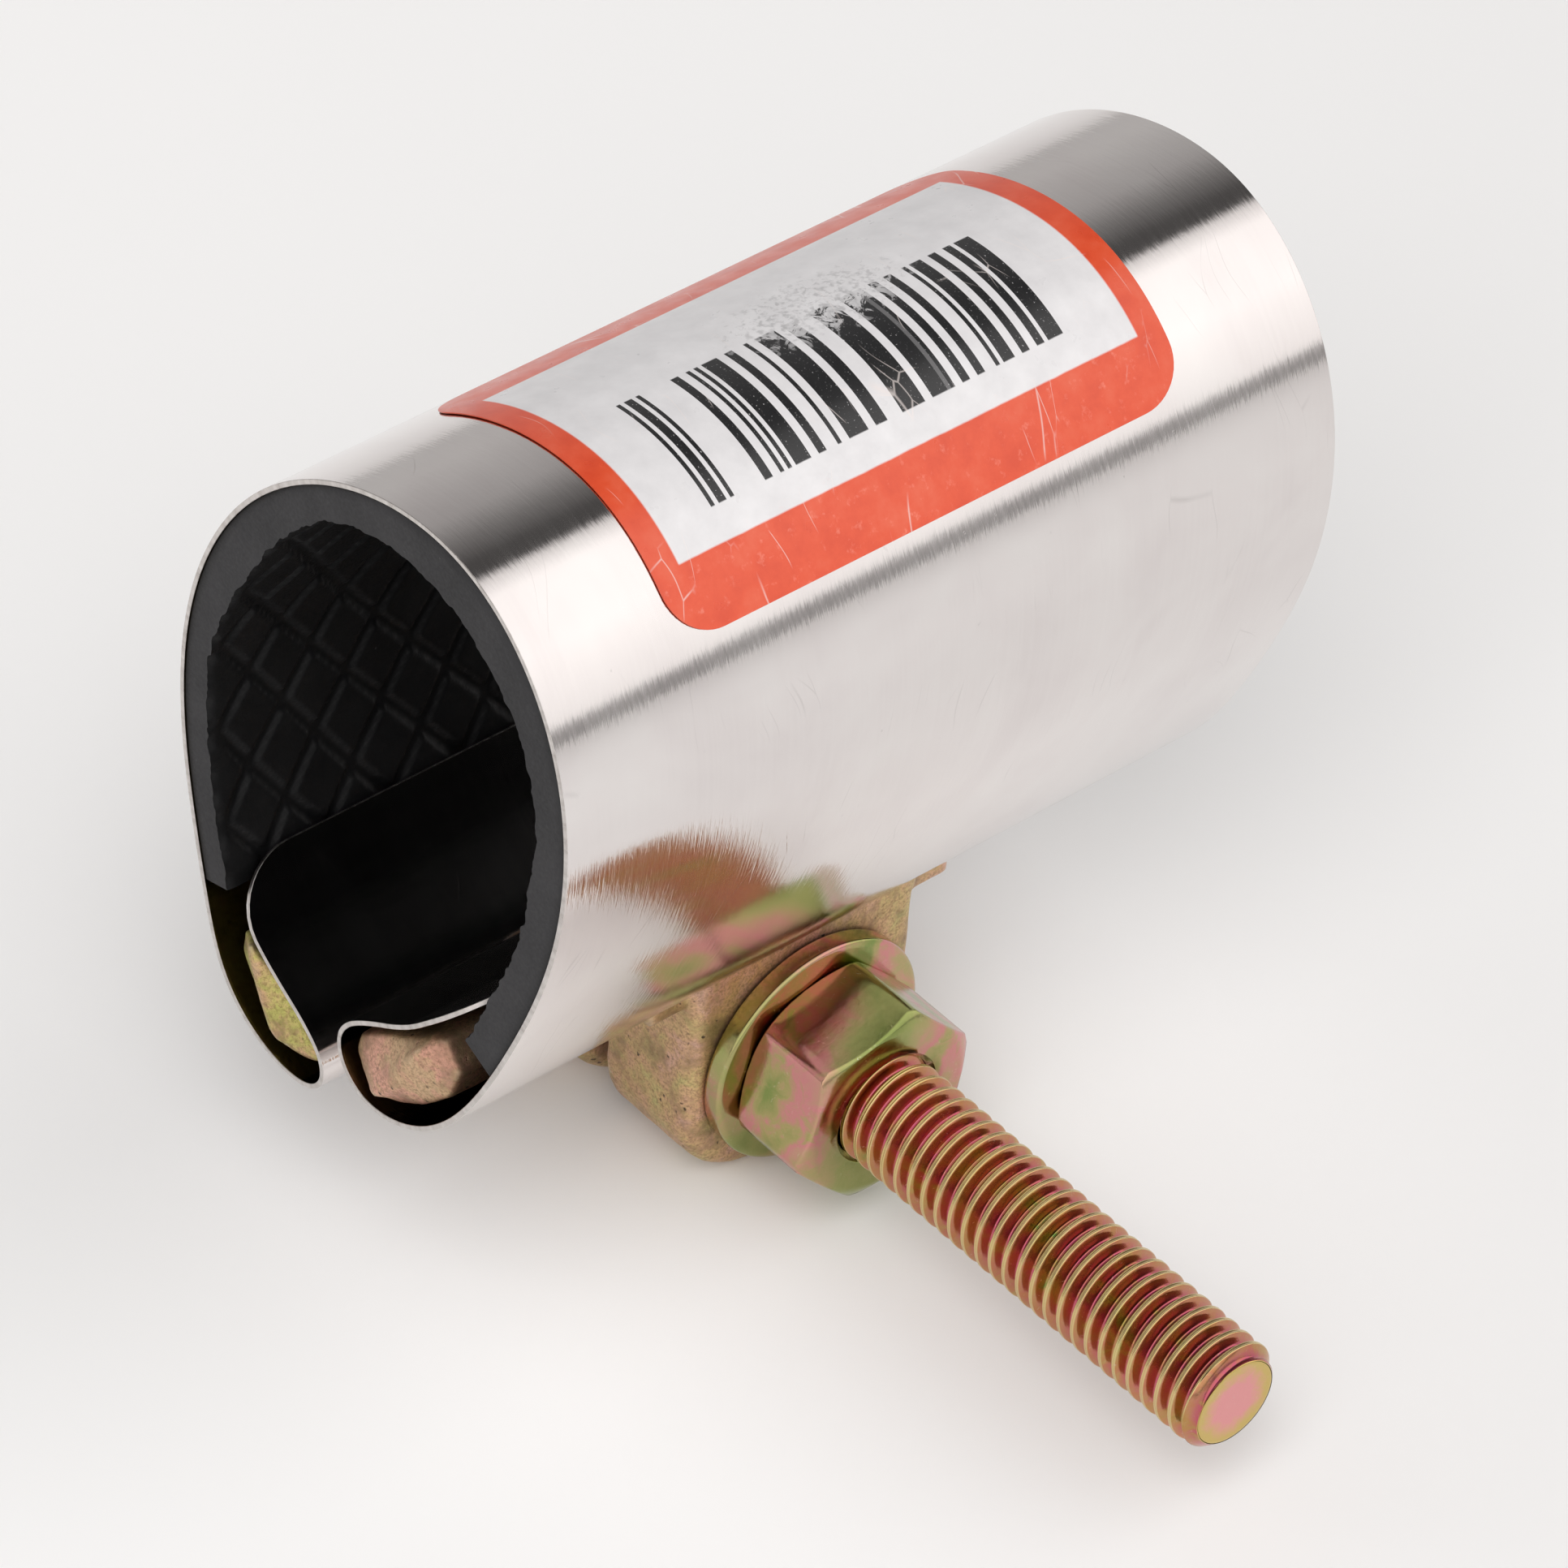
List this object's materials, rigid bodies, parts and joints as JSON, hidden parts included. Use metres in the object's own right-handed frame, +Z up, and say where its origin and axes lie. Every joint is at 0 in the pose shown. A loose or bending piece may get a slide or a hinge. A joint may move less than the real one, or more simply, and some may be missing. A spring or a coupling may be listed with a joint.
{
  "type": "pipe repair clamp",
  "caption": "Stainless band with a rubber lining that a cast lug pair and a bolt pull tight round a leaking pipe.",
  "frame": {"origin": "centre of the round part of the rubber seat, at the middle of the band's length; the pipe's centre lies here", "axes": "X along the bolt from its head to its free end, Y along the pipe, Z up, with the lugs and the bolt below"},
  "size_m": [0.0824, 0.0772, 0.0801],
  "materials": {
    "stainless": "polished stainless sheet with fine lines",
    "rubber_mat": "matte black with a grid of fine ridges",
    "sticker": "orange-red border round a white field",
    "plated_casting": "yellow zinc plating on a casting",
    "plated_steel": "iridescent yellow zinc plating"
  },
  "bodies": {
    "band_half": {"band": "stainless"},
    "mat_half": {"gasket": "rubber_mat", "label": "sticker"},
    "bolt_side": {"lug_head_side": "plated_casting", "bolt": "plated_steel"},
    "nut_side": {"lug_nut_side": "plated_casting"},
    "washer_ring": {"washer": "plated_steel"},
    "nut_hex": {"nut": "plated_steel"}
  },
  "joints": [
    {"name": "washer_travel", "type": "slide", "parent": "bolt_side", "child": "washer_ring", "axis": [1, 0, 0], "range_m": [-0.00119, 0.01746]},
    {"name": "nut_spin", "type": "hinge", "parent": "washer_ring", "child": "nut_hex", "pos_m": [0.01262, 0, -0.0475], "axis": [1, 0, 0], "range_deg": [-270.54, 3967.92]},
    {"name": "ring_open", "type": "hinge", "parent": "band_half", "child": "mat_half", "pos_m": [-0.00565, 0, 0.0175], "axis": [0, -1, 0], "range_deg": [-1.28, 18.74], "deforming": ["band", "gasket", "label"]},
    {"name": "head_lug_rock", "type": "hinge", "parent": "band_half", "child": "bolt_side", "pos_m": [-0.0122, 0, -0.036], "axis": [0, -1, 0], "range_deg": [-0.64, 9.37]},
    {"name": "nut_lug_rock", "type": "hinge", "parent": "mat_half", "child": "nut_side", "pos_m": [0.0009, 0, -0.036], "axis": [0, -1, 0], "range_deg": [-9.37, 0.64]}
  ],
  "couplings": [
    {"joint": "nut_spin", "follows": "washer_travel", "rad_per_m": 3957.9},
    {"joint": "ring_open", "follows": "washer_travel", "rad_per_m": 18.692},
    {"joint": "head_lug_rock", "follows": "washer_travel", "rad_per_m": 9.3458},
    {"joint": "nut_lug_rock", "follows": "washer_travel", "rad_per_m": -9.3458}
  ]
}
